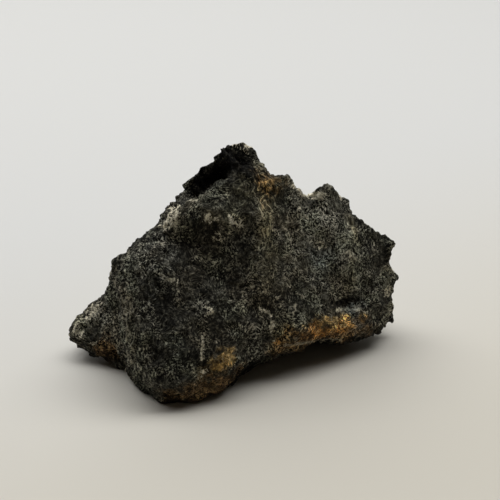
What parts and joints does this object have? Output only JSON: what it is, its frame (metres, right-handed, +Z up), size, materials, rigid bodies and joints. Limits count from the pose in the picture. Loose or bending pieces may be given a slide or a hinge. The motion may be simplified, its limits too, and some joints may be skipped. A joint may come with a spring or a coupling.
{
  "type": "chlorite schist specimen",
  "caption": "Rough dark grey-green lump of chlorite schist with a jagged crest, a broad split face, a pointed end and a rusty ledge, resting on a small worn flat.",
  "frame": {"origin": "on the surface the stone rests on, under the middle of its box", "axes": "+Z up, +X along the stone from its pointed end to its toothed end, -Y out of the broad split face"},
  "size_m": [0.0794, 0.0412, 0.054],
  "materials": {
    "chlorite_schist": "rough broken stone, almost black with grey-green flakes, cream crusts and rusty patches"
  },
  "bodies": {
    "root": {"chlorite_stone": "chlorite_schist"}
  },
  "joints": []
}
